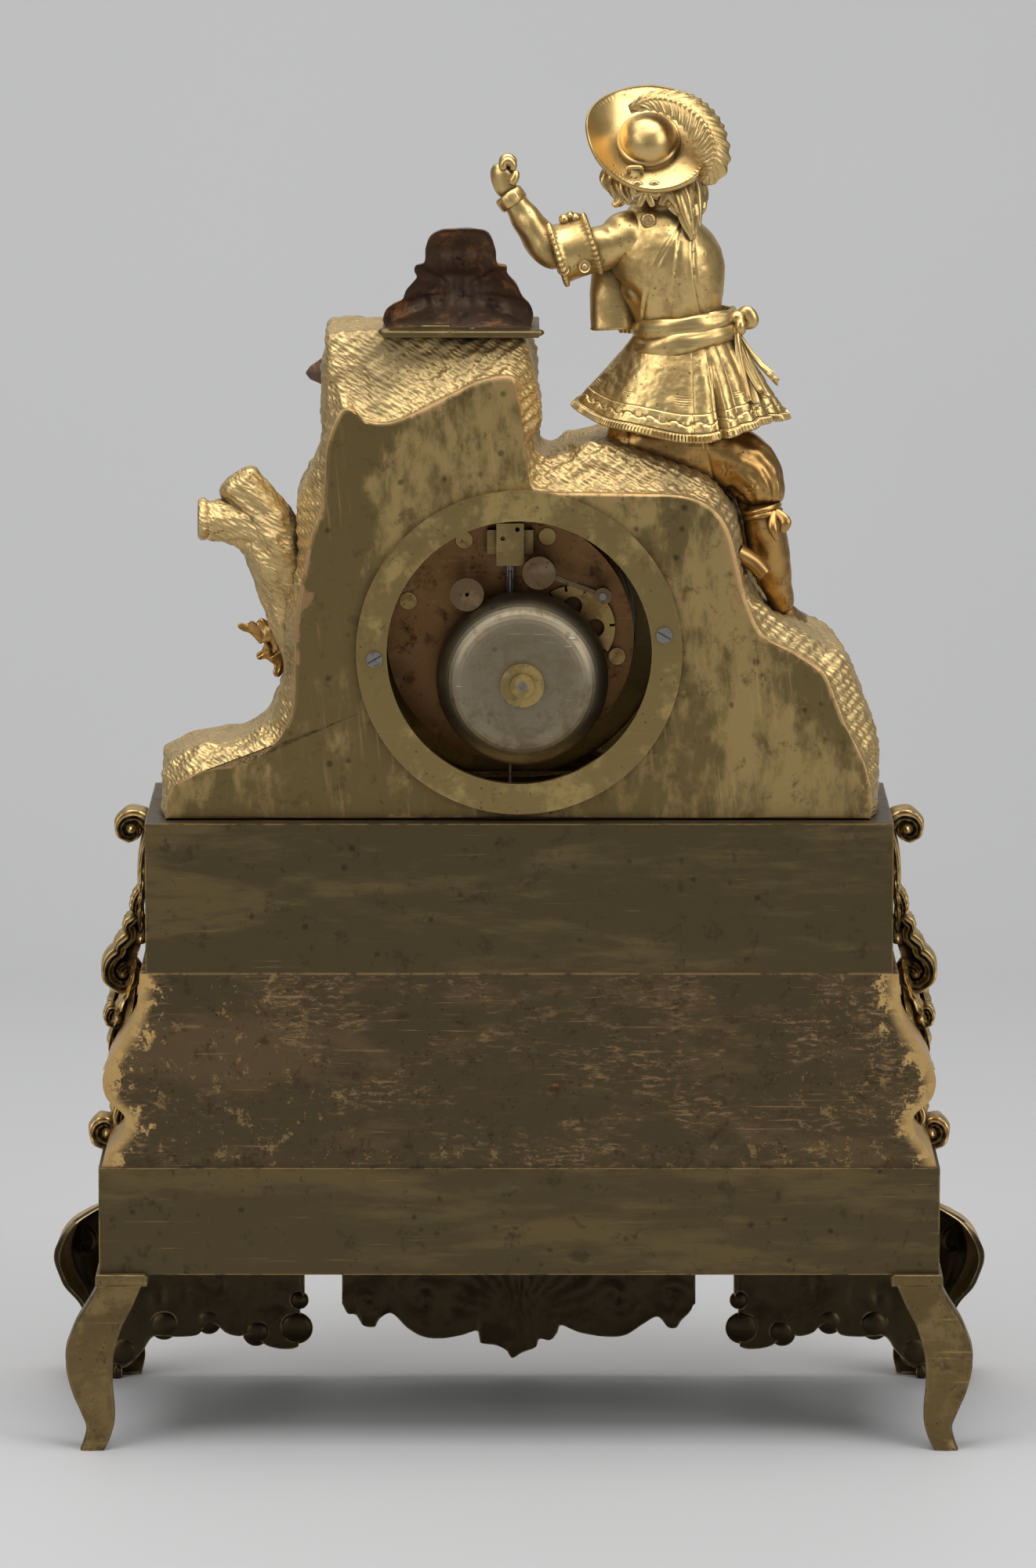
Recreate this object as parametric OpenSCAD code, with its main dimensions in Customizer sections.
// Mantel clock on a scroll-footed base: a rock case with a seated figure round a striking movement.
// +Z is up and the dial faces -Y. The origin is on the table, under the middle of the whole clock.

/* [Base] */
// Height of the lower box's underside over the table
foot_h = 58.5; // [50:0.5:70]
// Width of the lower box
lower_w = 278; // [250:1:320]
// Depth of the lower box
lower_d = 102; // [98:1:130]
// Height of the lower box
lower_h = 36; // [26:1:50]
// Height of the bulged middle section
middle_h = 65; // [50:1:80]
// Width of the upper box
upper_w = 246; // [240:1:256]
// Depth of the upper box
upper_d = 86; // [80:1:96]
// Height of the upper box
upper_h = 50; // [40:1:62]
// Wall of the three boxes
box_wall = 2.5; // [1.5:0.1:4]
// How far the front knees reach out in front of the lower box
knee_front = 20; // [14:0.5:26]
// How far the front knees reach out beside the lower box
knee_side = 19; // [14:0.5:26]
// How far the rear feet stand proud of the lower box's back
shoe_proud = 3; // [1:0.5:6]
// Thickness of the cast feet and aprons
cast_wall = 3.2; // [2:0.1:5]

/* [Rock case] */
// Width of the rock
rock_w = 236; // [220:1:244]
// Height of the rock
rock_h = 159; // [150:1:190]
// Depth of the rock, with its rear plate
rock_d = 68; // [60:1:76]
// How far the rock's rear plate stands in from the box's back
rock_inset = 8; // [2:0.5:12]
// Thickness of the rear plate
rear_plate_t = 2; // [1:0.1:4]
// Wall of the rock's casting
rock_wall = 4; // [3:0.1:6]

/* [Openings] */
// Outer radius of the rear ring
ring_r = 53.5; // [52:0.1:56]
// Radius of the rear ring's opening
ring_hole_r = 43.5; // [42:0.1:45]
// Thickness of the rear ring
ring_t = 3; // [1.5:0.1:4]
// Sideways place of the movement's centre
movement_x = 3; // [0:0.1:3.5]
// Height of the movement's centre over the rock's foot
movement_up = 56; // [55.6:0.1:62]

/* [Movement] */
// Radius of the round plates
plate_r = 41; // [40.5:0.1:42]
// Thickness of each plate
plate_t = 2; // [1.5:0.1:3]
// Length of the pillars between the plates
pillar_l = 30; // [29:0.1:33]
// Radius of the barrels' drums
drum_r = 15.2; // [12:0.1:15.4]
// Radius of the pivots
pivot_r = 0.7; // [0.5:0.05:0.9]
// Radial clearance of every running fit
fit = 0.05; // [0.02:0.01:0.1]
// Length from the suspension to the middle of the bob
pendulum_l = 120; // [112:1:124]
// Radius of the pendulum bob
bob_r = 15; // [11:0.5:17]
// Radius of the bell
bell_r = 28.5; // [22:0.5:28.8]
// Depth of the bell from crown to rim
bell_depth = 18; // [14:0.5:19]

/* [Dial] */
// Radius of the dial
dial_r = 44.5; // [43:0.1:44.8]
// Outer radius of the front bezel
bezel_r = 54; // [53:0.1:54.5]
// Radius of the bezel's hinge pin
hinge_pin_r = 0.8; // [0.6:0.05:1]

/* [Figure] */
// Thickness of the figure's head, as a radius
head_r = 10; // [8:0.5:11]
// Radius of the hat's brim
brim_r = 21; // [16:0.5:23]

/* [Hidden] */

brass = "darkgoldenrod";
old_brass = "peru";
gilt = "gold";
bronze = "saddlebrown";
steel = "slategray";

// Places along Y, from the back to the front
back_y = (lower_d + knee_front + shoe_proud) / 2 - shoe_proud;
front_y = back_y - lower_d;
box_step = 1;
upper_back_y = back_y - box_step;
middle_front_y = front_y + 3;
rock_back_y = back_y - rock_inset;
rock_front_y = rock_back_y - rock_d;
case_back_y = rock_back_y - rear_plate_t;
plate_back_y = rock_front_y + plate_t;
rear_plate_y = plate_back_y + pillar_l;
rear_y = rear_plate_y + plate_t;

// Places along Z, from the table up
lower_z = foot_h;
middle_z = lower_z + lower_h;
upper_z = middle_z + middle_h;
rock_z = upper_z + upper_h;
movement_z = rock_z + movement_up;
ledge_z = rock_z + rock_h * 0.69;
tower_z = rock_z + rock_h;

// Places of the arbors in the X, Z plane
centre_c = [movement_x, movement_z];
barrel_teeth = 78;
barrel_pinion = 12;
barrel_m = 0.415;
second_teeth = 72;
centre_pinion = 12;
second_m = 0.34;
centre_teeth = 84;
third_pinion = 7;
centre_m = 0.3;
third_teeth = 84;
escape_pinion = 7;
third_m = 0.28;
escape_teeth = 36;
escape_r = 8;
strike_teeth = 60;
locking_pinion = 8;
strike_m = 0.28;
locking_teeth = 56;
fly_pinion = 7;
locking_m = 0.26;
cannon_teeth = 14;
minute_teeth = 42;
cannon_m = 0.3;
minute_pinion = 10;
hour_teeth = 40;
hour_m = cannon_m * (cannon_teeth + minute_teeth) / (minute_pinion + hour_teeth);

function gear_gap(m, a, b) = m * (a + b) / 2;
function around(c, r, a) = c + r * [cos(a), sin(a)];
// Where circles of radius ra about a and rb about b meet, on the side given
function meet(a, ra, b, rb, side) =
    let (d = norm(b - a), e = (b - a) / d, k = (ra * ra - rb * rb + d * d) / (2 * d))
    a + k * e + side * sqrt(ra * ra - k * k) * [-e[1], e[0]];
function heading(a, b) = atan2(b[1] - a[1], b[0] - a[0]);
// Turn of gear b that meshes with gear a, which has a tooth at the turn given
function mesh_turn(a, b, turn_a, teeth_a, teeth_b) =
    heading(a, b) + 180 - 360 / teeth_b * (0.5 - (heading(a, b) - turn_a) * teeth_a / 360);

going_c = centre_c + [18.5, -15];
strike_c = centre_c + [-18.5, -15];
second_c = meet(going_c, gear_gap(barrel_m, barrel_teeth, barrel_pinion),
                centre_c, gear_gap(second_m, second_teeth, centre_pinion), -1);
escape_c = centre_c + [0, 20.5];
anchor_c = centre_c + [0, 31.5];
third_c = meet(centre_c, gear_gap(centre_m, centre_teeth, third_pinion),
               escape_c, gear_gap(third_m, third_teeth, escape_pinion), 1);
count_c = around(strike_c, gear_gap(barrel_m, barrel_teeth, barrel_pinion), 97);
locking_c = around(count_c, gear_gap(strike_m, strike_teeth, locking_pinion), 123);
fly_c = around(locking_c, gear_gap(locking_m, locking_teeth, fly_pinion), 60);
minute_c = around(centre_c, gear_gap(cannon_m, cannon_teeth, minute_teeth), 90);
hammer_c = centre_c + [-30.6, 15.7];
knob_c = centre_c + [14.2, 17];
bell_c = centre_c + [-4, -11.6];
stand_c = centre_c + [-17, -22];

// Levels along Y between the plates, measured back from the front plate
function level(s) = plate_back_y + s;
barrel_rim_s = 3;
barrel_rim_t = 2;
drum_end_s = 24;
centre_wheel_s = 0.8;
second_wheel_s = 26.5;
third_wheel_s = 12;
escape_wheel_s = 22;
locking_wheel_s = 5.5;
wheel_t = 1.2;
pinion_t = 2;

crutch_y = rear_y + 1.1;
pendulum_y = rear_y + 7.5;
bell_rim_y = rear_y + 11;
bell_crown_y = bell_rim_y + bell_depth;
bell_wall = 1.2;
hammer_y = rear_y + 14;
winding_r = 2;
arbor_r = 1.1;
screw_r = 2;
hinge_x = movement_x - bezel_r - 3;
hinge_y = rock_front_y - 4.2;
bezel_gap = 0.5;
seat_t = 2;
dial_y = rock_front_y - 5.5;
dial_t = 2;
hour_hand_y = dial_y - dial_t - 1;
minute_hand_y = hour_hand_y - 1.4;
hand_t = 0.6;
glass_y = minute_hand_y - 3.4;
glass_t = 1.5;
bezel_front_y = glass_y - glass_t - 1.2;

// ---- Helpers ----
// A flat outline in X and Z, given its thickness from y0 to y1
module slab(y0, y1) {
    translate([0, y1, 0]) rotate([90, 0, 0]) linear_extrude(y1 - y0) children();
}

module rod_y(c, r, y0, y1) {
    translate([c[0], y0, c[1]]) rotate([-90, 0, 0]) cylinder(r = r, h = y1 - y0, $fn = 64);
}

// A hole or a ring of material along Y
module tube_y(c, r, bore, y0, y1) {
    difference() {
        rod_y(c, r, y0, y1);
        rod_y(c, bore, y0 - 1, y1 + 1);
    }
}

module box(x0, x1, y0, y1, z0, z1) {
    translate([x0, y0, z0]) cube([x1 - x0, y1 - y0, z1 - z0]);
}

module both_sides() {
    children();
    mirror([1, 0, 0]) children();
}

// Points on a smooth curve through p, with n steps between two of them
function curve(p, n = 4) = [
    for (i = [0:len(p) - 2]) let (a = p[max(i - 1, 0)], b = p[i], c = p[i + 1], d = p[min(i + 2, len(p) - 1)])
        for (k = [0:n - 1]) let (t = k / n)
            0.5 * (2 * b + (c - a) * t + (2 * a - 5 * b + 4 * c - d) * t * t + (3 * b - a - 3 * c + d) * t * t * t),
    p[len(p) - 1]];
function left_of(a, b) = let (v = (b - a) / norm(b - a)) [-v[1], v[0]];
// An outline that runs anticlockwise, moved inward by t
function inset(p, t) = let (c = len(p)) [
    for (i = [0:c - 1]) let (m = left_of(p[(i + c - 1) % c], p[i]), n = left_of(p[i], p[(i + 1) % c]),
                             s = (m + n) / norm(m + n))
        p[i] + s * t / max(0.6, s * n)];

// Teeth as slim flats, so that wheels and pinions run clear at every turn
module gear(teeth, m, turn, pinion = false) {
    pitch = 360 / teeth;
    foot = (pinion ? 0.15 : 0.24) * pitch;
    tip = (pinion ? 0.08 : 0.1) * pitch;
    r = teeth * m / 2;
    polygon([
        for (i = [0:teeth - 1], k = [[-foot, -1.15], [-tip, 0.78], [tip, 0.78], [foot, -1.15]])
            around([0, 0], r + k[1] * m, turn + i * pitch + k[0])]);
}

// A spoked wheel with its teeth, standing from y0 to y0 + t
module wheel(c, teeth, m, turn, y0, t, spokes = 4) {
    rim = teeth * m / 2 - 2.2;
    slab(y0, y0 + t) translate(c) difference() {
        gear(teeth, m, turn);
        for (i = [0:spokes - 1]) rotate(i * 360 / spokes + 45) difference() {
            intersection() {
                circle(r = rim, $fn = 64);
                translate([0.9, 0.9]) square(rim);
            }
            circle(r = 3, $fn = 48);
        }
    }
}

module pinion(c, teeth, m, turn, y0, t) {
    slab(y0, y0 + t) translate(c) gear(teeth, m, turn, true);
}

// An arbor that runs in both plates
module arbor(c, r = 0.9) {
    rod_y(c, r, plate_back_y + 0.2, rear_plate_y - 0.2);
    rod_y(c, pivot_r, rock_front_y + 0.3, rear_y - 0.3);
}

// Rounded lengths between balls, each given as [x, y, z, radius]
module chain(balls, faces = 16) {
    for (i = [0:len(balls) - 2]) hull() {
        for (b = [balls[i], balls[i + 1]])
            translate([b[0], b[1], b[2]]) sphere(r = b[3], $fn = faces);
    }
}

// ---- Base ----
module lower_box() {
    color(bronze) difference() {
        box(-lower_w / 2, lower_w / 2, front_y, back_y, lower_z, middle_z);
        box(-lower_w / 2 + box_wall, lower_w / 2 - box_wall, front_y + box_wall, back_y - box_wall,
            lower_z + box_wall, middle_z - box_wall);
        box(-lower_w / 2 + 22, lower_w / 2 - 22, front_y + 22, back_y - 22, lower_z - 1, lower_z + box_wall + 1);
        tie_holes(middle_z);
        foot_holes();
    }
}

middle_side = [[138, 0], [136, 5], [131, 11], [130, 18], [137, 24], [137, 33], [132, 41], [127, 48], [125, 57], [125, 65]];
function middle_point(p) = [p[0] - 139 + lower_w / 2, middle_z + p[1] * middle_h / 65];

module middle_outline() {
    right = [for (p = middle_side) middle_point(p)];
    polygon(concat(right, [for (i = [len(right) - 1:-1:0]) [-right[i][0], right[i][1]]]));
}

module middle_section() {
    inner_x = upper_w / 2 - box_wall - 3;
    color(bronze) difference() {
        slab(middle_front_y, upper_back_y) middle_outline();
        box(-inner_x, inner_x, middle_front_y + box_wall, upper_back_y - box_wall, middle_z - 1, upper_z + 1);
    }
}

module upper_box() {
    front = upper_back_y - upper_d;
    color(bronze) difference() {
        box(-upper_w / 2, upper_w / 2, front, upper_back_y, upper_z, rock_z);
        box(-upper_w / 2 + box_wall, upper_w / 2 - box_wall, front + box_wall, upper_back_y - box_wall,
            upper_z - 1, rock_z - box_wall);
        pendulum_slot();
        tie_holes(rock_z);
    }
}

// The slot that the bob drops through
module pendulum_slot() {
    box(movement_x - bob_r - 6, movement_x + bob_r + 6, pendulum_y - 8, pendulum_y + 8, rock_z - 10, rock_z + 10);
}

tie_x = 98;
function tie_places() = [for (x = [-tie_x, tie_x], y = [rock_front_y + 12, case_back_y - 10]) [x, y]];

module tie_holes(z) {
    for (p = tie_places())
        translate([p[0], p[1], z - box_wall - 1]) cylinder(r = screw_r + 0.1, h = box_wall + 2, $fn = 48);
}

module tie_rods() {
    nut_h = 3;
    color(steel) for (p = tie_places()) translate([p[0], p[1], 0]) {
        translate([0, 0, middle_z - box_wall - nut_h - 2])
            cylinder(r = screw_r, h = rock_z - middle_z + box_wall + 2 * nut_h + 4, $fn = 48);
        translate([0, 0, middle_z - box_wall - nut_h]) cylinder(r = 4, h = nut_h, $fn = 6);
        translate([0, 0, rock_z]) cylinder(r = 4, h = nut_h, $fn = 6);
    }
}

foot_hole_in = 10;
foot_plate_t = 3;
function foot_places() = [for (x = [-1, 1], y = [front_y + foot_hole_in, back_y - foot_hole_in])
    [x * (lower_w / 2 - foot_hole_in), y]];

module foot_holes() {
    for (p = foot_places())
        translate([p[0], p[1], lower_z - foot_plate_t - 1])
            cylinder(r = screw_r + 0.1, h = foot_plate_t + box_wall + 2, $fn = 48);
}

// How far the rear leg stands out beyond the box, and how far in its inner edge is, by height
rear_leg_out = [[6, 0], [5, 4], [4.5, 7], [6.3, 12], [9.7, 21], [11, 31], [8.5, 41], [3, 50], [0.6, 55.5]];
rear_leg_in = [[-13.5, 55.5], [-11, 48], [-7.4, 42], [-5.2, 34], [-4.4, 25], [-5, 14], [-4.6, 8], [-3, 3], [-1.5, 0]];
function rear_point(p) = [lower_w / 2 + p[0], p[1] * foot_h / 58.5];

module rear_foot() {
    outer = curve([for (p = rear_leg_out) rear_point(p)]);
    inner = curve([for (p = rear_leg_in) rear_point(p)]);
    skin = [for (i = [len(outer) - 1:-1:0]) outer[i] - [cast_wall, 0]];
    plate_z = lower_z - foot_plate_t;
    color(bronze) difference() {
        union() {
            slab(back_y + shoe_proud - cast_wall, back_y + shoe_proud) polygon(concat(outer, inner));
            slab(back_y - 22, back_y + shoe_proud) polygon(concat(outer, skin));
            box(lower_w / 2 - 16, lower_w / 2 + 1, back_y - 22, back_y + shoe_proud, plate_z, lower_z);
        }
        foot_holes();
    }
}

module rear_foot_left() {
    rear_foot();
}

module rear_foot_right() {
    mirror([1, 0, 0]) rear_foot();
}

// The front leg as it stands out from the corner, 0 at the box and 1 at the knee, by height
knee_out = [[0.1, 0], [0.6, 4], [0.84, 13], [0.6, 23], [0.62, 29], [0.85, 37], [1, 46], [0.8, 56], [0.3, 62], [0, 64]];
knee_in = [[-9, 64], [-9, 44], [-8, 30], [-9, 12], [-8, 0]];
function knee_profile(reach) = concat(
    curve([for (p = knee_out) [p[0] * reach, p[1] * foot_h / 58.5]], 3),
    [for (p = knee_in) [p[0], p[1] * foot_h / 58.5]]);

apron_lobes = [[-9, 13], [-28, 13], [-29, 18], [-36, 18], [-42, 14], [-48, 15], [-52, 10.5], [-60, 9.5], [-67, 13],
               [-68, 18], [-64, 22], [-62, 28], [-58, 44], [-50, 62], [-40, 72], [-24, 70], [-9, 64]];

module front_foot() {
    span = 40;
    corner = [lower_w / 2, front_y];
    color(gilt) difference() {
        union() {
            difference() {
                intersection() {
                    translate([corner[0], 0, 0]) slab(front_y - span, front_y + 9) polygon(knee_profile(knee_side));
                    translate([corner[0], front_y, 0]) rotate([0, 0, -90]) slab(-9, span)
                        polygon(knee_profile(knee_front));
                }
                box(corner[0] - 20, corner[0], front_y, front_y + 20, lower_z - foot_plate_t, lower_z + 30);
                box(corner[0] - 20, corner[0] - 3, front_y + 1, front_y + 20, 5, lower_z);
            }
            slab(front_y - cast_wall, front_y) translate([corner[0], 0])
                polygon([for (p = apron_lobes) [p[0], p[1] * foot_h / 58.5]]);
            box(corner[0] - 18, corner[0], front_y - cast_wall, front_y + 18, lower_z - foot_plate_t, lower_z);
        }
        foot_holes();
    }
}

module front_foot_left() {
    front_foot();
}

module front_foot_right() {
    mirror([1, 0, 0]) front_foot();
}

module front_apron() {
    half = [[0, 6], [6, 10], [13, 12], [15, 16], [20, 14], [29, 12.5], [38, 16], [44, 21], [50, 18], [55, 17],
            [58, 22], [59, 28], [54, 44], [44, 58], [30, 68], [14, 76], [0, 79]];
    right = [for (p = half) [p[0], p[1] * foot_h / 58.5]];
    left = [for (i = [len(right) - 2:-1:1]) [-right[i][0], right[i][1]]];
    color(gilt) slab(front_y - cast_wall, front_y) polygon(concat(right, left));
}

// Scrolls and shells that hug the sides of the middle section and the upper box
module side_mounts() {
    mount_d = 34;
    mid_y = (upper_back_y + middle_front_y) / 2;
    upper_x = upper_w / 2;
    low = concat([for (p = [[130, 18], [131, 11]]) middle_point(p)],
                 curve([for (p = [[132, 10], [139, 10], [142, 15], [140, 20], [134.4, 21]]) middle_point(p)], 3));
    high = concat(
        [for (p = [[125, 65], [125, 57], [127, 48], [132, 41], [137, 33]]) middle_point(p)],
        curve([for (p = [[139, 40], [134, 48], [139.5, 55], [139.5, 68]]) middle_point(p)], 3),
        curve([for (p = [[8, 15], [4, 24], [5, 32], [2, 40], [9, 47], [8, 57], [0, 58]])
            [upper_x + p[0], upper_z + p[1] * upper_h / 50]], 3),
        [[upper_x, upper_z]]);
    color(gilt) both_sides() slab(mid_y - mount_d / 2, mid_y + mount_d / 2) difference() {
        union() {
            polygon(low);
            polygon(high);
        }
        middle_outline();
    }
}

module front_relief() {
    half = [[0, 4], [12, 2], [24, 6], [38, 4], [52, 12], [60, 24], [50, 32], [44, 42], [30, 46], [20, 56], [8, 60], [0, 62]];
    right = curve([for (p = half) [p[0], middle_z + p[1] * middle_h / 65]], 3);
    left = [for (i = [len(right) - 2:-1:1]) [-right[i][0], right[i][1]]];
    color(gilt) slab(middle_front_y - 5, middle_front_y) polygon(concat(right, left));
}

// ---- Rock case ----
rock_outline = [[118, 0], [117, 10], [110, 20], [90, 23], [80, 34], [77, 52], [77, 66], [73, 84], [72, 104],
                [65, 122], [63, 140], [63, 157], [30, 159], [0, 158], [-5, 146], [-6, 121], [-14, 120],
                [-18, 110], [-64, 109], [-72, 98], [-75, 84], [-78, 72], [-92, 61], [-104, 56], [-114, 36],
                [-119, 20], [-118, 0]];
rear_outline = [[116, 0], [113, 13], [90, 16], [76, 28], [72, 42], [72, 66], [70, 86], [64, 104], [61, 128], [56, 135],
                [50, 131], [42, 131], [12, 145], [2, 146], [-2, 116], [-4, 108], [-57, 107], [-68, 97], [-72, 84],
                [-76, 66], [-98, 51], [-106, 34], [-115, 18], [-115, 0]];
stump_outline = [[77, 66], [83, 71], [90, 86], [105, 87], [108, 99], [93, 103], [103, 113], [100, 117], [94, 118],
                 [86, 113], [79, 104], [72, 104], [73, 84]];
function rock_point(p) = [p[0] * rock_w / 236, rock_z + p[1] * rock_h / 159];

module rock_case() {
    outline = [for (p = rock_outline) rock_point(p)];
    hollow = inset([for (p = rear_outline) rock_point(p)], rock_wall);
    step = 9;
    color(gilt) difference() {
        union() {
            slab(rock_front_y + step, case_back_y) polygon(outline);
            slab(rock_front_y, rock_front_y + step) polygon(inset(outline, 3));
        }
        slab(rock_front_y + rock_wall, case_back_y + 1) polygon(hollow);
        box(hollow[len(hollow) - 1][0] + 2, hollow[0][0] - 2, rock_front_y + rock_wall, case_back_y + 1,
            rock_z - 1, rock_z + 8);
        rod_y(centre_c, plate_r + 2, rock_front_y - 1, rock_front_y + 20);
        for (side = [-1, 1]) strap_bar(side, 0.5, rock_front_y - 1, case_back_y + 1);
    }
}

module rock_back_plate() {
    color(old_brass) difference() {
        slab(case_back_y, rock_back_y) polygon([for (p = rear_outline) rock_point(p)]);
        rod_y([0, movement_z], ring_r - 1.5, case_back_y - 1, rock_back_y + 1);
    }
}

module tree_stump() {
    stump_d = 26;
    color(gilt) slab(case_back_y - stump_d - 4, case_back_y - 4) polygon([for (p = stump_outline) rock_point(p)]);
}

module top_ornament() {
    base_t = 2;
    shape = [for (p = [[43, 0], [44, 5], [38, 8], [33, 15], [34, 20], [30, 24], [26, 30], [15, 30], [10, 25], [8, 18],
                       [2, 12], [-3, 6], [-5, 0]]) [p[0] * rock_w / 236, tower_z + base_t + p[1]]];
    hollow = inset(shape, 2.4);
    back = case_back_y - 14;
    front = case_back_y - 44;
    color(bronze) {
        box(-7 * rock_w / 236, 45 * rock_w / 236, case_back_y - 50, case_back_y - 1, tower_z, tower_z + base_t);
        difference() {
            slab(front, back) polygon(shape);
            slab(front + 4, back + 1) polygon(hollow);
        }
    }
}

// ---- Figure ----
fig_y = 24;
seat_z = ledge_z + 0.3;
shoulder_x = -34;
function up(h) = seat_z + h;

module figure_body() {
    color(gilt) difference() {
        union() {
            // The skirt, spread over the seat
            hull() {
                for (b = [[-30, 14], [-32, -14], [-76, -13], [-80, 14], [-54, 24], [-54, -19]])
                    translate([b[0], fig_y + b[1], up(22)]) sphere(r = 5, $fn = 20);
                translate([-54, fig_y, up(46)]) sphere(r = 13, $fn = 20);
            }
            chain([[-54, fig_y, up(42), 14], [-54, fig_y, up(48), 13], [-52, fig_y, up(53), 12.5],
                   [-49, fig_y, up(60), 14.5], [-46, fig_y, up(66), 15.5], [-43, fig_y, up(72), 13.5],
                   [-38, fig_y, up(76), 7], [-58, fig_y, up(75), 7.5], [-46, fig_y, up(82), 5.5]], 20);
        }
        box(shoulder_x, 10, fig_y - 40, fig_y + 40, up(58), up(100));
        box(-100, 10, fig_y - 40, fig_y - 13, up(50), up(100));
        box(-100, 10, fig_y - 40, fig_y + 40, up(85), up(100));
        box(-100, 10, fig_y - 60, fig_y + 60, up(0), up(17.5));
    }
}

module figure_legs() {
    color(gilt) difference() {
        chain([[-36, fig_y - 6, up(11), 11], [-54, fig_y + 8, up(11), 11], [-62, fig_y + 10, up(10), 10],
               [-78, fig_y + 8, up(6), 8], [-82, fig_y + 6, up(-8), 6], [-87, fig_y + 6, up(-26), 5],
               [-91, fig_y + 4, up(-40), 4.5], [-97, fig_y, up(-43), 3.5]]);
        box(-120, 10, fig_y - 60, fig_y + 60, up(17.5), up(40));
        box(-71, 10, fig_y - 60, fig_y + 60, up(-60), up(0));
    }
    color(gilt) difference() {
        chain([[-54, fig_y - 14, up(10), 10], [-76, fig_y - 16, up(5), 8], [-84, fig_y - 16, up(-16), 6],
               [-89, fig_y - 18, up(-36), 5], [-95, fig_y - 22, up(-42), 3.5]]);
        box(-120, 10, fig_y - 60, fig_y + 60, up(17.5), up(40));
        box(-71, 10, fig_y - 60, fig_y + 60, up(-60), up(0));
    }
}

head_c = [-43, fig_y - 4, up(102)];

module figure_head() {
    color(gilt) {
        translate(head_c) sphere(r = head_r, $fn = 48);
        translate([-45, fig_y - 1, up(85)]) cylinder(r = 5, h = 12, $fn = 48);
    }
}

// The hat sits back on the head, its brim turned up towards one side
hat_tilt = -42;
module at_hat() {
    translate(head_c + [-1, head_r * 0.66, head_r * 0.76]) rotate([hat_tilt, 0, 0]) children();
}

module figure_hat() {
    crown = 9;
    color(gilt) difference() {
        at_hat() {
            cylinder(r = brim_r, h = 1.6, $fn = 64);
            cylinder(r1 = head_r + 1, r2 = head_r - 3, h = crown, $fn = 64);
        }
        translate(head_c) sphere(r = head_r, $fn = 48);
    }
}

// A feather that lies on the brim's edge and hangs behind it
module hat_plume() {
    color(gilt) difference() {
        chain([for (i = [0:8])
            [-66 + 3 * sin(i * 22), fig_y + 12 - i, up(124 - 4.4 * i), 3 + 1.2 * sin(i * 22)]], 14);
        at_hat() translate([0, 0, -20]) cylinder(r = brim_r + 0.2, h = 21.7, $fn = 64);
    }
}

module raised_arm() {
    color(gilt) difference() {
        chain([[-38, fig_y - 2, up(76), 6.5], [-30, fig_y - 2, up(76), 6.5], [-24, fig_y - 3, up(75), 7],
               [-18, fig_y - 3, up(75), 6.5], [-12, fig_y - 4, up(79), 5.5], [-6, fig_y - 4, up(84), 4.6],
               [0, fig_y - 5, up(90), 3.6], [4, fig_y - 5, up(95), 3.8], [7, fig_y - 5, up(99), 3]]);
        box(-60, shoulder_x, fig_y - 40, fig_y + 40, up(50), up(100));
    }
}

module lowered_arm() {
    color(gilt) difference() {
        chain([[-46, fig_y - 12, up(72), 6], [-40, fig_y - 18, up(68), 6], [-36, fig_y - 20, up(62), 6],
               [-33, fig_y - 22, up(56), 5.6], [-32, fig_y - 25, up(50), 5], [-33, fig_y - 29, up(44), 4.4],
               [-35, fig_y - 32, up(38), 3.8], [-38, fig_y - 34, up(33), 3.6], [-42, fig_y - 35, up(30), 3]]);
        box(-100, 10, fig_y - 13, fig_y + 40, up(0), up(100));
    }
}

// ---- Case hardware ----
screw_x = 47.5;
strap_x = 49.2;
strap_w = 6;
strap_t = 1.2;
// Height of each ring screw against the movement's centre, for the sides -1 and 1
function screw_up(side) = side > 0 ? -2 : 6;

// A round-headed screw along Y with its slot, its head on the face at y
module screw_y(c, y, head_r, head_t, shank_r, shank_l, slot_turn) {
    difference() {
        union() {
            rod_y(c, head_r, y, y + head_t);
            rod_y(c, shank_r, y - shank_l, y);
        }
        translate([c[0], y + head_t, c[1]]) rotate([0, slot_turn, 0]) cube([3 * head_r, 1, 0.6], center = true);
    }
}

module slotted_screws() {
    color(steel) {
        for (side = [-1, 1])
            screw_y([side * screw_x, movement_z + screw_up(side)], rock_back_y + ring_t, 2.6, 1.4, 1.5, 7, 30 * side);
        for (p = foot_places()) translate([p[0], p[1], lower_z - foot_plate_t - 2]) difference() {
            union() {
                cylinder(r = 3.4, h = 2, $fn = 48);
                cylinder(r = screw_r, h = foot_plate_t + box_wall + 4, $fn = 48);
            }
            cube([8, 0.9, 1.4], center = true);
        }
    }
}

module rear_ring() {
    color(brass) difference() {
        tube_y([0, movement_z], ring_r, ring_hole_r, rock_back_y, rock_back_y + ring_t);
        for (side = [-1, 1]) rod_y([side * screw_x, movement_z + screw_up(side)], 1.6, rock_back_y - 1, rock_back_y + 9);
    }
}

module strap_bar(side, room, y0, y1) {
    x = side * (strap_x + strap_t / 2);
    z = movement_z + screw_up(side);
    box(x - strap_t / 2 - room, x + strap_t / 2 + room, y0, y1, z - strap_w / 2 - room, z + strap_w / 2 + room);
}

// Two flat bars that run from the bezel seat to the rear ring and hold the case between them
module case_straps() {
    tab = 2.5;
    color(brass) for (side = [-1, 1]) {
        z = movement_z + screw_up(side);
        inner = side * (screw_x - 2.3);
        outer = side * strap_x;
        strap_bar(side, 0, rock_front_y, rock_back_y);
        difference() {
            box(min(inner, outer), max(inner, outer), rock_back_y - tab, rock_back_y, z - strap_w / 2, z + strap_w / 2);
            rod_y([side * screw_x, z], 1.6, rock_back_y - tab - 1, rock_back_y + 1);
        }
    }
}

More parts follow.
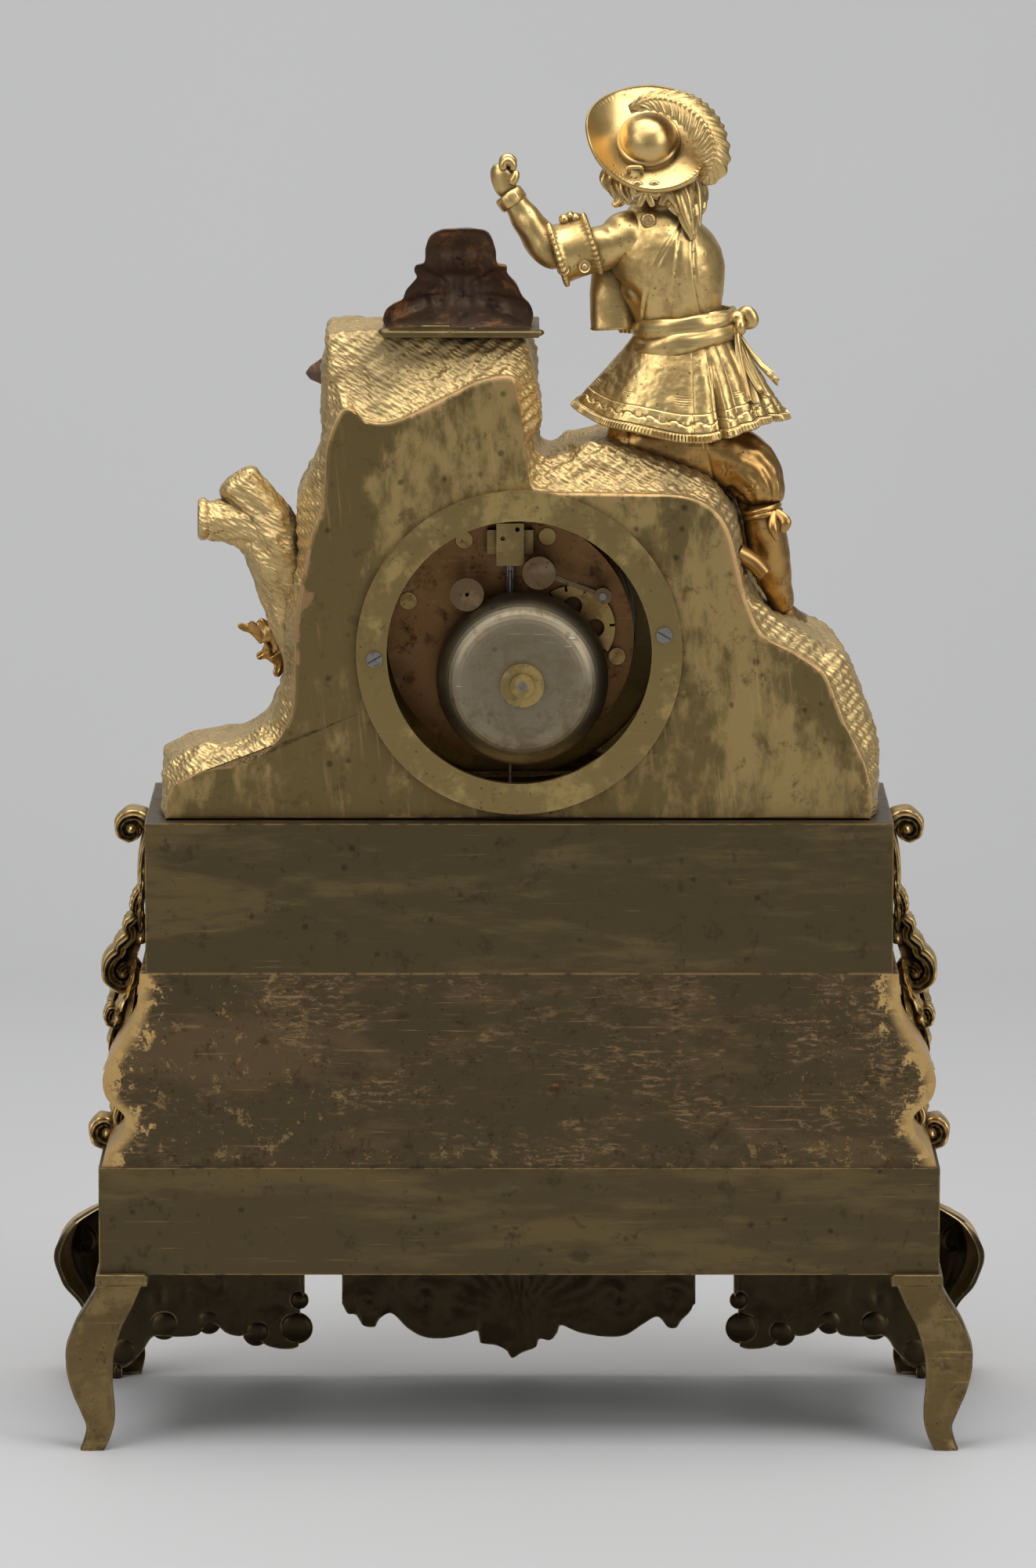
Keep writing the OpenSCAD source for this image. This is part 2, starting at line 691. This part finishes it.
hinge_r = 2;
knuckle = 4;

// A length of the hinge's barrel, bored for the pin
module hinge_barrel(z0, z1) {
    translate([hinge_x, hinge_y, movement_z + z0]) difference() {
        cylinder(r = hinge_r, h = z1 - z0, $fn = 48);
        translate([0, 0, -1]) cylinder(r = hinge_pin_r + fit, h = z1 - z0 + 2, $fn = 48);
    }
}

module bezel_seat() {
    ear = knuckle + 0.3;
    color(brass) {
        tube_y(centre_c, bezel_r + 0.8, plate_r + 1, rock_front_y - seat_t, rock_front_y);
        tube_y(centre_c, plate_r + 3, plate_r + 1, dial_y, rock_front_y - seat_t);
        for (a = [35, 145, 270]) slab(rock_front_y - seat_t, rock_front_y) translate(centre_c) rotate(a) difference() {
            translate([plate_r - 3, -4]) square([5, 8]);
            translate([plate_r - 1, 0]) circle(r = 1, $fn = 32);
        }
        for (side = [-1, 1]) translate([0, 0, side > 0 ? 0 : -2 * ear - knuckle]) {
            hinge_barrel(ear, ear + knuckle);
            box(hinge_x - hinge_r, hinge_x + hinge_r + 3, rock_front_y - seat_t - 0.4, rock_front_y,
                movement_z + ear, movement_z + ear + knuckle);
        }
    }
}

// The hinged ring, with a stepped and hollowed moulding turned round the glass
module front_bezel() {
    lip_r = dial_r - 2.5;
    back = rock_front_y - seat_t - bezel_gap;
    mid = (back + bezel_front_y) / 2;
    color(brass) {
        translate([movement_x, 0, movement_z]) rotate([-90, 0, 0]) rotate_extrude($fn = 96)
            polygon(concat(
                [[dial_r + 0.8, back], [dial_r + 0.8, glass_y], [dial_r + 1.5, glass_y], [dial_r + 1.5, glass_y - glass_t],
                 [lip_r, glass_y - glass_t], [lip_r + 0.5, bezel_front_y]],
                curve([[lip_r + 3, bezel_front_y], [lip_r + 5.5, bezel_front_y + 2.4], [bezel_r - 3, mid - 1],
                       [bezel_r - 0.6, mid + 1.5], [bezel_r, back]], 4)));
        hinge_barrel(-knuckle, knuckle);
        box(hinge_x, hinge_x + 5, hinge_y - hinge_r, hinge_y - hinge_pin_r - 0.3,
            movement_z - knuckle, movement_z + knuckle);
    }
}

module bezel_glass() {
    color("lightblue", 0.4) rod_y(centre_c, dial_r + 1.4, glass_y - glass_t, glass_y);
}

module hinge_pin() {
    reach = 2 * knuckle + 0.3;
    color(steel) translate([hinge_x, hinge_y, movement_z - reach]) {
        cylinder(r = hinge_pin_r, h = 2 * reach, $fn = 48);
        translate([0, 0, 2 * reach]) cylinder(r = hinge_pin_r + 0.5, h = 0.8, $fn = 32);
    }
}

// ---- Dial and motion works ----
module dial() {
    color("ivory") difference() {
        rod_y(centre_c, dial_r, dial_y - dial_t, dial_y);
        rod_y(centre_c, 3.2, dial_y - dial_t - 1, dial_y + 1);
        for (c = [going_c, strike_c]) rod_y(c, 3.2, dial_y - dial_t - 1, dial_y + 1);
    }
}

// A pierced hand from its boss up to its tip, pointing at twelve
module hand(y, boss_r, bore, length, width) {
    slab(y - hand_t, y) translate(centre_c) difference() {
        union() {
            circle(r = boss_r, $fn = 48);
            polygon(concat(
                curve([[0.8, 1], [0.7, length * 0.3], [width, length * 0.52], [0.9, length * 0.72]], 3),
                [[0.5, length * 0.8], [0, length], [-0.5, length * 0.8]],
                curve([[-0.9, length * 0.72], [-width, length * 0.52], [-0.7, length * 0.3], [-0.8, 1]], 3)));
            translate([0, -length * 0.16]) circle(r = width * 0.6, $fn = 32);
            translate([-0.6, -length * 0.16]) square([1.2, length * 0.16]);
        }
        circle(r = bore, $fn = 48);
        translate([0, length * 0.52]) circle(r = width * 0.55, $fn = 32);
    }
}

module minute_hand() {
    color(bronze) hand(minute_hand_y, 2.6, arbor_r, 36, 2.6);
}

module hour_hand() {
    color(bronze) hand(hour_hand_y, 3.6, hour_pipe_r, 24, 3.2);
}

cannon_r = 1.7;
hour_bore = cannon_r + fit;
hour_pipe_r = 2.5;
cannon_y = rock_front_y - 1.9;
hour_y = cannon_y - 1.6;
cannon_turn = 0;

module cannon_pinion() {
    color(brass) {
        tube_y(centre_c, cannon_r, arbor_r, minute_hand_y, rock_front_y - 0.4);
        difference() {
            pinion(centre_c, cannon_teeth, cannon_m, cannon_turn, cannon_y, wheel_t);
            rod_y(centre_c, arbor_r, cannon_y - 1, cannon_y + wheel_t + 1);
        }
    }
}

minute_wheel_turn = mesh_turn(centre_c, minute_c, cannon_turn, cannon_teeth, minute_teeth);
module minute_wheel() {
    color(brass) difference() {
        union() {
            wheel(minute_c, minute_teeth, cannon_m, minute_wheel_turn, cannon_y, wheel_t);
            pinion(minute_c, minute_pinion, hour_m, 0, hour_y - 0.2, cannon_y - hour_y + 0.2);
        }
        rod_y(minute_c, 0.8 + fit, hour_y - 2, rock_front_y);
    }
}

hour_turn = mesh_turn(minute_c, centre_c, 0, minute_pinion, hour_teeth);
module hour_wheel() {
    color(brass) difference() {
        union() {
            wheel(centre_c, hour_teeth, hour_m, hour_turn, hour_y, wheel_t);
            rod_y(centre_c, hour_pipe_r, hour_hand_y - hand_t, hour_y);
        }
        rod_y(centre_c, hour_bore, hour_hand_y - 3, rock_front_y);
    }
}

// ---- Movement frame ----
pillar_at = [[36, 20], [36, 65], [36, 110], [36, 190], [36, 270]];
train_arbors = [second_c, escape_c, third_c, locking_c, fly_c];

module plate_holes(y0, y1, winding) {
    for (c = train_arbors) rod_y(c, pivot_r + fit, y0 - 1, y1 + 1);
    for (c = [going_c, strike_c]) rod_y(c, winding + fit, y0 - 1, y1 + 1);
    for (p = pillar_at) rod_y(around(centre_c, p[0], p[1]), 1.3, y0 - 1, y1 + 1);
}

module front_plate() {
    y0 = rock_front_y;
    color(brass) {
        difference() {
            rod_y(centre_c, plate_r, y0, y0 + plate_t);
            plate_holes(y0, y0 + plate_t, winding_r);
            rod_y(centre_c, arbor_r + fit, y0 - 1, y0 + plate_t + 1);
            for (c = [count_c, anchor_c]) rod_y(c, pivot_r + fit, y0 - 1, y0 + plate_t + 1);
        }
        rod_y(minute_c, 0.8, hour_y - 0.6, y0);
    }
}

module back_plate() {
    color(old_brass) difference() {
        rod_y(centre_c, plate_r, rear_plate_y, rear_y);
        plate_holes(rear_plate_y, rear_y, 1.5);
        rod_y(centre_c, pivot_r + fit, rear_plate_y - 1, rear_y + 1);
        for (c = [count_c, anchor_c]) rod_y(c, arbor_r + fit, rear_plate_y - 1, rear_y + 1);
        rod_y(knob_c, 1 + fit, rear_plate_y - 1, rear_y + 1);
    }
}

module plate_pillars() {
    color(brass) for (p = pillar_at) {
        c = around(centre_c, p[0], p[1]);
        rod_y(c, 2.2, plate_back_y, rear_plate_y);
        rod_y(c, 3, level(pillar_l / 2 - 1.5), level(pillar_l / 2 + 1.5));
        rod_y(c, 1.3, plate_back_y - 1.8, plate_back_y);
        rod_y(c, 1.3, rear_plate_y, rear_plate_y + 1.8);
        rod_y(c, 2.8, rear_y, rear_y + 0.8);
        rod_y(c, 1.3, rear_plate_y + 1.8, rear_y);
    }
}

// ---- Trains ----
module barrel(c, turn) {
    wall = 1;
    color(brass) difference() {
        union() {
            slab(level(barrel_rim_s), level(barrel_rim_s + barrel_rim_t)) translate(c) gear(barrel_teeth, barrel_m, turn);
            rod_y(c, drum_r, level(barrel_rim_s), level(drum_end_s));
        }
        rod_y(c, drum_r - wall, level(barrel_rim_s + wall), level(drum_end_s - wall));
        rod_y(c, winding_r + fit, level(0), level(drum_end_s + 2));
    }
}

// The winding arbor, with its square for the key in front and its ratchet in front of the plate
module winding_arbor(c) {
    ratchet_teeth = 20;
    ratchet_r = 5.5;
    color(steel) {
        rod_y(c, winding_r, rock_front_y - 0.2, level(drum_end_s + 1));
        rod_y(c, 1.5, level(drum_end_s + 1), rear_y - 0.3);
        slab(dial_y - dial_t, rock_front_y - 0.2) translate(c) square(2.9, center = true);
        slab(rock_front_y - 1.9, rock_front_y - 0.4) translate(c) difference() {
            polygon([for (i = [0:ratchet_teeth - 1], k = [[-0.15, -1], [0, 0]])
                around([0, 0], ratchet_r + k[1], (i + k[0]) * 360 / ratchet_teeth)]);
            square(2.9, center = true);
        }
    }
}

module going_barrel() {
    barrel(going_c, 0);
}

module strike_barrel() {
    barrel(strike_c, 0);
}

module going_arbor() {
    winding_arbor(going_c);
}

module strike_arbor() {
    winding_arbor(strike_c);
}

// A coiled spring in each barrel, from its arbor out to its wall
module mainsprings() {
    turns = 6;
    steps = 24;
    inner = winding_r + 1;
    outer = drum_r - 1.6;
    blade = 0.4;
    path = [for (i = [0:turns * steps]) [inner + (outer - inner) * i / (turns * steps), i * 360 / steps]];
    color(steel) for (c = [going_c, strike_c])
        slab(level(barrel_rim_s + 2), level(drum_end_s - 2)) translate(c) polygon(concat(
            [for (p = path) around([0, 0], p[0], p[1])],
            [for (i = [len(path) - 1:-1:0]) around([0, 0], path[i][0] - blade, path[i][1])]));
}

second_pinion_turn = mesh_turn(going_c, second_c, 0, barrel_teeth, barrel_pinion);
module second_wheel() {
    color(brass) {
        arbor(second_c);
        pinion(second_c, barrel_pinion, barrel_m, second_pinion_turn, level(barrel_rim_s), pinion_t);
        wheel(second_c, second_teeth, second_m, 0, level(second_wheel_s), wheel_t);
    }
}

centre_pinion_turn = mesh_turn(second_c, centre_c, 0, second_teeth, centre_pinion);
module centre_wheel() {
    color(brass) {
        rod_y(centre_c, arbor_r, minute_hand_y - 2.2, level(pillar_l) - 0.2);
        rod_y(centre_c, pivot_r, level(pillar_l) - 0.2, rear_y - 0.3);
        wheel(centre_c, centre_teeth, centre_m, 0, level(centre_wheel_s), wheel_t);
        pinion(centre_c, centre_pinion, second_m, centre_pinion_turn, level(second_wheel_s), wheel_t);
    }
}

third_pinion_turn = mesh_turn(centre_c, third_c, 0, centre_teeth, third_pinion);
module third_wheel() {
    color(brass) {
        arbor(third_c, 0.8);
        pinion(third_c, third_pinion, centre_m, third_pinion_turn, level(centre_wheel_s), wheel_t);
        wheel(third_c, third_teeth, third_m, 0, level(third_wheel_s), wheel_t);
    }
}

escape_pinion_turn = mesh_turn(third_c, escape_c, 0, third_teeth, escape_pinion);
module escape_wheel() {
    color(brass) {
        arbor(escape_c, 0.8);
        pinion(escape_c, escape_pinion, third_m, escape_pinion_turn, level(third_wheel_s), wheel_t);
        slab(level(escape_wheel_s), level(escape_wheel_s) + 1) translate(escape_c) difference() {
            polygon([for (i = [0:escape_teeth - 1], k = [[-0.35, -1.3], [-0.2, 0], [0, 0]])
                around([0, 0], escape_r + k[1], (i + k[0]) * 360 / escape_teeth)]);
            for (i = [0:4]) rotate(i * 72) translate([4, 0]) circle(r = 1.4, $fn = 32);
        }
    }
}

// The anchor over the escape wheel, on the arbor that carries the crutch down to the pendulum rod
module anchor() {
    pallet_r = escape_r + 0.9;
    drop = anchor_c[1] - escape_c[1];
    grip = 2.6;
    color(steel) {
        rod_y(anchor_c, pivot_r, rock_front_y + 0.3, plate_back_y + 0.2);
        rod_y(anchor_c, 0.9, plate_back_y + 0.2, crutch_y + 3.4);
        slab(level(escape_wheel_s) - 0.3, level(escape_wheel_s) + 1.3) translate(anchor_c) polygon(concat(
            [[-1.6, 1.2], [1.6, 1.2]],
            [for (a = [30, 60]) around([0, -drop], pallet_r + 2 - a / 30, a)],
            [around([0, -drop], pallet_r, 32), around([0, -drop], pallet_r, 62), [0, -1.2 + pallet_r + 2 - drop]],
            [around([0, -drop], pallet_r, 118), around([0, -drop], pallet_r, 148)],
            [for (a = [60, 30]) around([0, -drop], pallet_r + 2 - a / 30, 180 - a)]));
        slab(crutch_y, crutch_y + 1.4) translate(anchor_c) {
            circle(r = 2.6, $fn = 48);
            translate([-1.1, -27]) square([2.2, 27]);
        }
        for (side = [-1, 1]) translate([movement_x + side * 1.35, 0, anchor_c[1] - 26])
            box(-0.45, 0.45, crutch_y + 1.4, pendulum_y + grip / 2, -1, 1);
    }
}

// The brass cock that carries the anchor's rear pivot and the pendulum's suspension
module suspension_cock() {
    color(brass) difference() {
        union() {
            for (side = [-1, 1]) translate([movement_x + side * 6, 0, anchor_c[1] + 1])
                box(-1.6, 1.6, rear_y, pendulum_y - 4.2, -4, 4);
            box(movement_x - 7.6, movement_x + 7.6, pendulum_y - 4.2, pendulum_y - 2.2, anchor_c[1] - 3, anchor_c[1] + 5);
            box(movement_x - 4.5, movement_x + 4.5, pendulum_y - 2.2, pendulum_y + 2.6, anchor_c[1], anchor_c[1] + 8);
            box(movement_x - 4.5, movement_x + 4.5, pendulum_y + 2.6, pendulum_y + 4, anchor_c[1] - 6, anchor_c[1] + 8);
        }
        rod_y(anchor_c, 0.9 + fit, pendulum_y - 8, pendulum_y - 2.5);
        box(movement_x - 0.6, movement_x + 0.6, pendulum_y - 1.6, pendulum_y + 1.6, anchor_c[1] - 1, anchor_c[1] + 5);
        rod_y(anchor_c + [-2.4, 6], 0.8, pendulum_y + 1, pendulum_y + 5);
        rod_y(anchor_c + [2.4, 3], 0.8, pendulum_y + 3, pendulum_y + 5);
    }
}

module regulator_knob() {
    color(old_brass) {
        rod_y(knob_c, 1, rear_plate_y + 0.3, rear_y + 18);
        tube_y(knob_c, 5.5, 0.7, rear_y + 18, rear_y + 20);
        rod_y(knob_c, 2, rear_y + 16.5, rear_y + 18);
    }
}

module pendulum_rod() {
    bob_z = anchor_c[1] - pendulum_l;
    rod_r = 0.6;
    color(steel) {
        box(movement_x - 0.2, movement_x + 0.2, pendulum_y - 1.2, pendulum_y + 1.2, anchor_c[1] - 8, anchor_c[1] + 4);
        translate([movement_x, pendulum_y, bob_z - bob_r - 7]) cylinder(r = rod_r, h = pendulum_l + bob_r - 1, $fn = 32);
        translate([movement_x, pendulum_y, bob_z - bob_r - 3.2]) cylinder(r = 2.6, h = 2.4, $fn = 48);
    }
}

module pendulum_bob() {
    bob_z = anchor_c[1] - pendulum_l;
    thick = 8;
    color(brass) translate([movement_x, pendulum_y, bob_z]) difference() {
        rotate([-90, 0, 0]) rotate_extrude($fn = 64) polygon(concat(
            [[0, -thick / 2]],
            curve([[bob_r * 0.3, -thick / 2 + 0.2], [bob_r * 0.7, -thick / 2 + 1.3], [bob_r, -0.8]], 3),
            curve([[bob_r, 0.8], [bob_r * 0.7, thick / 2 - 1.3], [bob_r * 0.3, thick / 2 - 0.2]], 3),
            [[0, thick / 2]]));
        translate([0, 0, -bob_r - 1]) cylinder(r = 0.6, h = 2 * bob_r + 2, $fn = 32);
    }
}

strike_pinion_turn = mesh_turn(strike_c, count_c, 0, barrel_teeth, barrel_pinion);
module strike_wheel() {
    color(brass) {
        arbor(count_c);
        rod_y(count_c, arbor_r, rear_plate_y - 0.2, rear_y + 3.4);
        pinion(count_c, barrel_pinion, barrel_m, strike_pinion_turn, level(barrel_rim_s), pinion_t);
        wheel(count_c, strike_teeth, strike_m, 0, level(second_wheel_s), wheel_t);
        for (i = [0:9]) rod_y(around(count_c, 6.9, i * 36), 0.35, level(second_wheel_s) - 2, level(second_wheel_s));
    }
}

// The notched wheel that counts the blows, with a longer land for each hour
module count_wheel() {
    count_r = 14;
    blows = 90;
    color(brass) slab(rear_y + 1, rear_y + 2.6) translate(count_c) difference() {
        circle(r = count_r, $fn = 96);
        circle(r = arbor_r, $fn = 48);
        for (h = [1:12]) rotate(360 / blows * (h * (h + 1) / 2 + h)) translate([count_r - 1.8, -0.45]) square([3, 0.9]);
        for (i = [0:3]) rotate(i * 90) translate([7.4, 0]) circle(r = 3.1, $fn = 48);
    }
}

locking_pinion_turn = mesh_turn(count_c, locking_c, 0, strike_teeth, locking_pinion);
module locking_wheel() {
    color(brass) {
        arbor(locking_c, 0.8);
        pinion(locking_c, locking_pinion, strike_m, locking_pinion_turn, level(second_wheel_s), wheel_t);
        wheel(locking_c, locking_teeth, locking_m, 0, level(locking_wheel_s), wheel_t);
    }
}

fly_pinion_turn = mesh_turn(locking_c, fly_c, 0, locking_teeth, fly_pinion);
module fly() {
    color(brass) {
        arbor(fly_c, 0.7);
        pinion(fly_c, fly_pinion, locking_m, fly_pinion_turn, level(locking_wheel_s), wheel_t);
        box(fly_c[0] - 4.5, fly_c[0] + 4.5, level(14.5), level(23), fly_c[1] - 0.25, fly_c[1] + 0.25);
    }
}

// ---- Bell ----
hammer_head_c = centre_c + [-9.5, 24];

module hammer() {
    reach = norm(hammer_head_c - hammer_c);
    color(steel) {
        tube_y(hammer_c, 2.8, 1.2 + fit, hammer_y - 4, hammer_y + 1);
        slab(hammer_y - 1.6, hammer_y) translate(hammer_c) rotate(heading(hammer_c, hammer_head_c)) difference() {
            translate([0, -0.8]) square([reach, 1.6]);
            circle(r = 2, $fn = 48);
        }
        rod_y(hammer_head_c, 5.4, hammer_y - 2, hammer_y + 5);
    }
}

module bell() {
    outer = [[9, 0], [17, 0.3], [23, 2], [27, 6], [28.3, 11], [28.5, 18]];
    r_scale = bell_r / 28.5;
    d_scale = bell_depth / 18;
    skin = curve([for (p = outer) [p[0] * r_scale, bell_crown_y - p[1] * d_scale]], 4);
    color("silver") translate([bell_c[0], 0, bell_c[1]]) rotate([-90, 0, 0]) rotate_extrude($fn = 96)
        polygon(concat(
            [[2, bell_crown_y], [2, bell_crown_y - bell_wall]],
            [for (p = skin) [p[0] - bell_wall * (p[1] < bell_crown_y - 3 ? 1 : 0.4), max(p[1] - bell_wall, bell_rim_y)]],
            [for (i = [len(skin) - 1:-1:0]) skin[i]]));
}

module bell_stand() {
    arm_y = rear_y + 8.2;
    arm_l = norm(bell_c - stand_c);
    color(steel) {
        rod_y(stand_c, 2.2, rear_y, arm_y);
        rod_y(stand_c, 3.6, rear_y, rear_y + 1.4);
        slab(arm_y, arm_y + 1.8) translate(stand_c) rotate(heading(stand_c, bell_c)) {
            translate([0, -2]) square([arm_l, 4]);
            circle(r = 2.6, $fn = 48);
            translate([arm_l, 0]) circle(r = 2.2, $fn = 48);
        }
        rod_y(bell_c, 1.9, arm_y, bell_crown_y - bell_wall);
        rod_y(bell_c, 1.4, bell_crown_y - bell_wall, bell_crown_y + 5);
        rod_y(bell_c, 3.4, bell_crown_y - bell_wall - 1.2, bell_crown_y - bell_wall);
        // The stud that the hammer turns on
        rod_y(hammer_c, 1.2, rear_y, hammer_y + 1.6);
        rod_y(hammer_c, 2.4, hammer_y - 6, hammer_y - 4.3);
    }
}

module bell_nut() {
    color(brass) difference() {
        union() {
            rod_y(bell_c, 7.2, bell_crown_y, bell_crown_y + 2.4);
            rod_y(bell_c, 3.9, bell_crown_y + 2.4, bell_crown_y + 4.2);
        }
        rod_y(bell_c, 1.4, bell_crown_y - 1, bell_crown_y + 6);
    }
}

lower_box();
middle_section();
upper_box();
tie_rods();
rear_foot_left();
rear_foot_right();
front_foot_left();
front_foot_right();
front_apron();
side_mounts();
front_relief();
rock_case();
rock_back_plate();
tree_stump();
top_ornament();
figure_body();
figure_legs();
figure_head();
figure_hat();
hat_plume();
raised_arm();
lowered_arm();
slotted_screws();
rear_ring();
case_straps();
bezel_seat();
front_bezel();
bezel_glass();
hinge_pin();
dial();
minute_hand();
hour_hand();
cannon_pinion();
minute_wheel();
hour_wheel();
front_plate();
back_plate();
plate_pillars();
going_barrel();
going_arbor();
second_wheel();
centre_wheel();
third_wheel();
escape_wheel();
anchor();
suspension_cock();
regulator_knob();
pendulum_rod();
pendulum_bob();
strike_barrel();
strike_arbor();
strike_wheel();
count_wheel();
locking_wheel();
fly();
mainsprings();
hammer();
bell();
bell_stand();
bell_nut();
